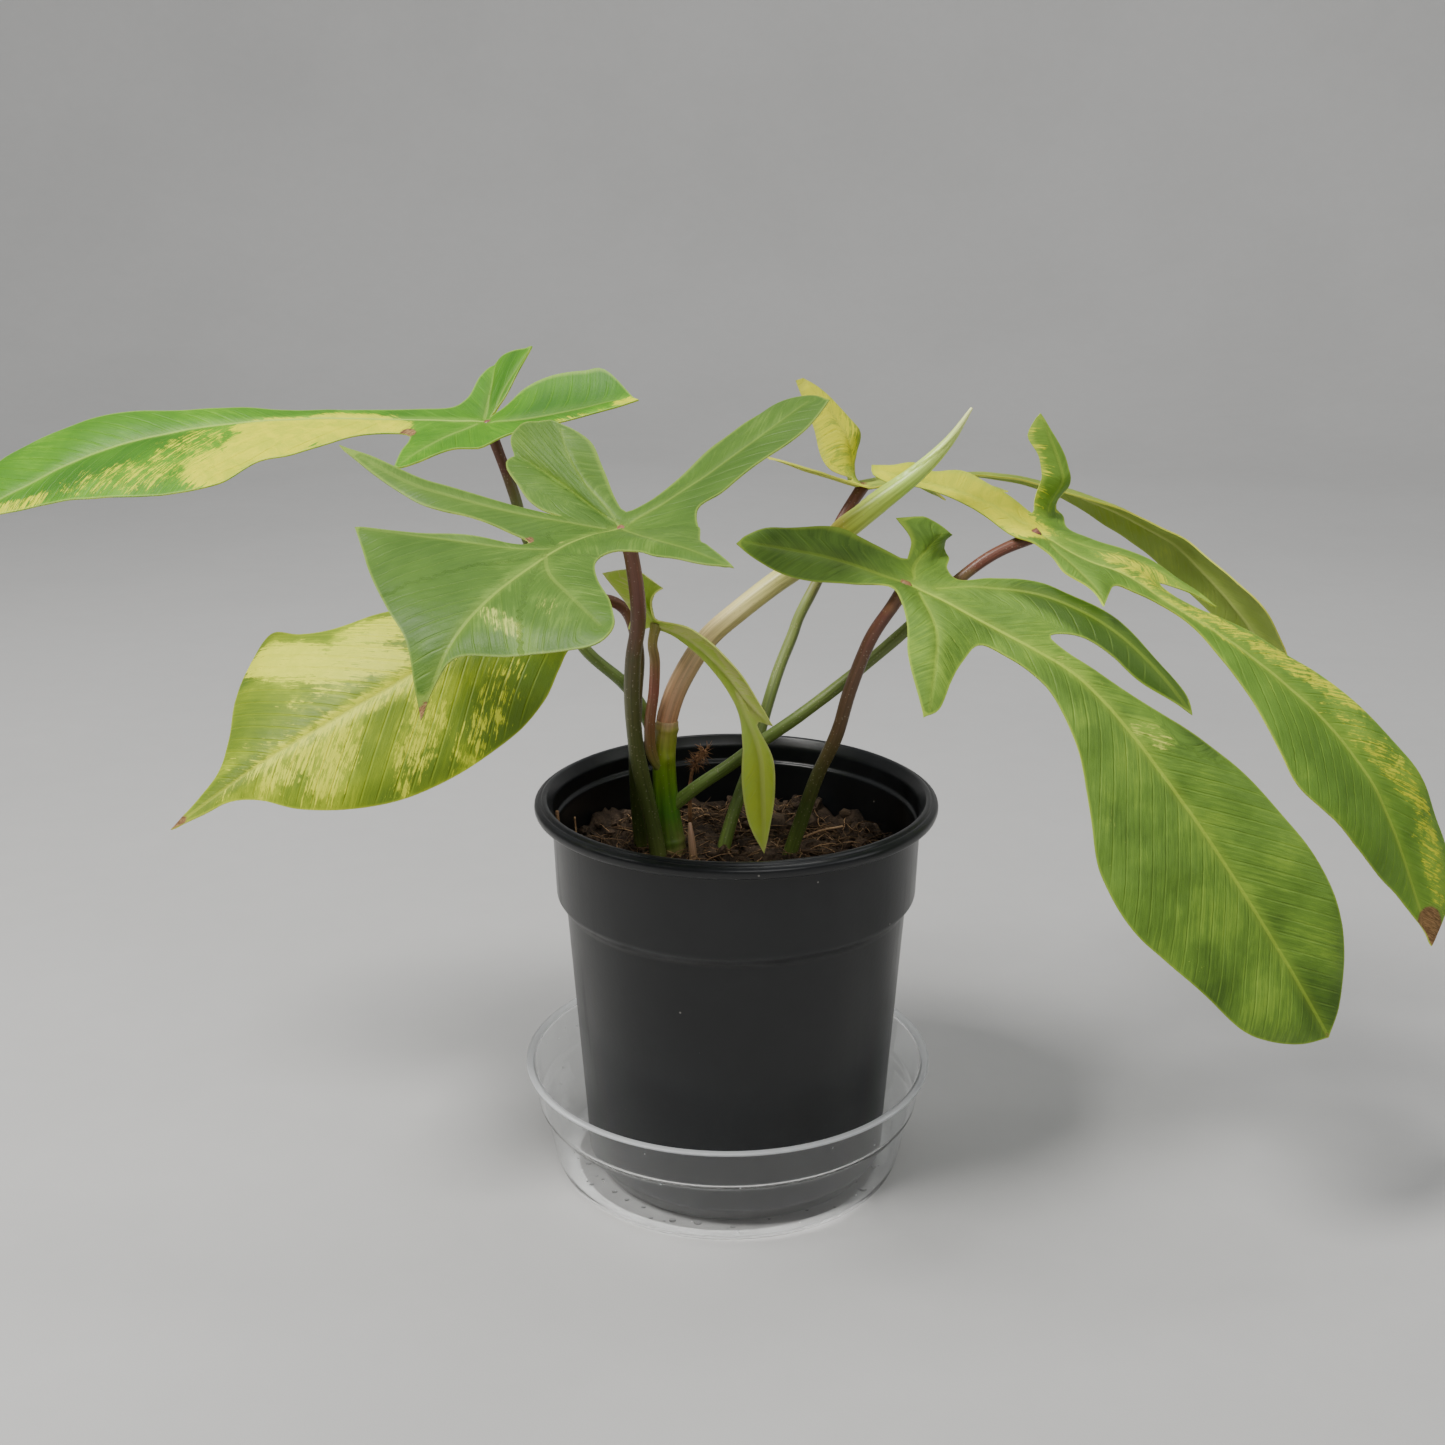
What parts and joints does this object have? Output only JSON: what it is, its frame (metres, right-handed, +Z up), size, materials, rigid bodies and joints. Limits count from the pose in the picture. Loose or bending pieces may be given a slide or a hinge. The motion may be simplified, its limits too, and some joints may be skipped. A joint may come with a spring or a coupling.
{
  "type": "potted plant",
  "caption": "Variegated lobed-leaf philodendron on a short stem, in a round black nursery pot that stands in a clear flared saucer.",
  "frame": {"origin": "on the pot's axis, on the flat underside of the saucer, at the level of the surface that it stands on", "axes": "+Z up along the pot's axis; +X along the plant's widest spread; -Y towards the side that is seen"},
  "size_m": [0.4694, 0.2053, 0.2674],
  "materials": {
    "clear_plastic": "clear, thin and glossy",
    "pot_plastic": "black, satin",
    "coir_mix": "dark brown fibrous potting mix, matt",
    "stem_skin": "green, satin, with pale leaf scars",
    "sheath_skin": "peach to cream, smooth",
    "spear_skin": "light green, smooth",
    "dry_fibre": "dry brown fibre, matt",
    "petiole_maroon": "maroon, turning green at the foot",
    "petiole_olive": "olive green, turning maroon at the blade",
    "leaf_lime": "bright green with yellow patches, satin",
    "leaf_green": "mid green with cream specks, satin",
    "leaf_cream": "cream and yellow-green marbling, satin",
    "leaf_olive": "olive underside with cream patches, satin"
  },
  "bodies": {
    "root": {"saucer": "clear_plastic", "nursery_pot": "pot_plastic", "potting_mix": "coir_mix", "main_stem": "stem_skin", "new_leaf_stalk": "sheath_skin", "new_leaf_spear": "spear_skin", "aerial_root": "dry_fibre", "dried_sprig": "dry_fibre", "leaf_1_blade": "leaf_lime", "leaf_1_petiole": "petiole_maroon", "leaf_2_blade": "leaf_green", "leaf_2_petiole": "petiole_maroon", "leaf_3_blade": "leaf_cream", "leaf_3_petiole": "petiole_maroon", "leaf_4_blade": "leaf_lime", "leaf_4_petiole": "petiole_olive", "leaf_5_blade": "leaf_olive", "leaf_5_petiole": "petiole_maroon", "leaf_6_blade": "leaf_green", "leaf_6_petiole": "petiole_maroon", "leaf_7_blade": "leaf_green", "leaf_7_petiole": "petiole_olive"}
  },
  "joints": []
}
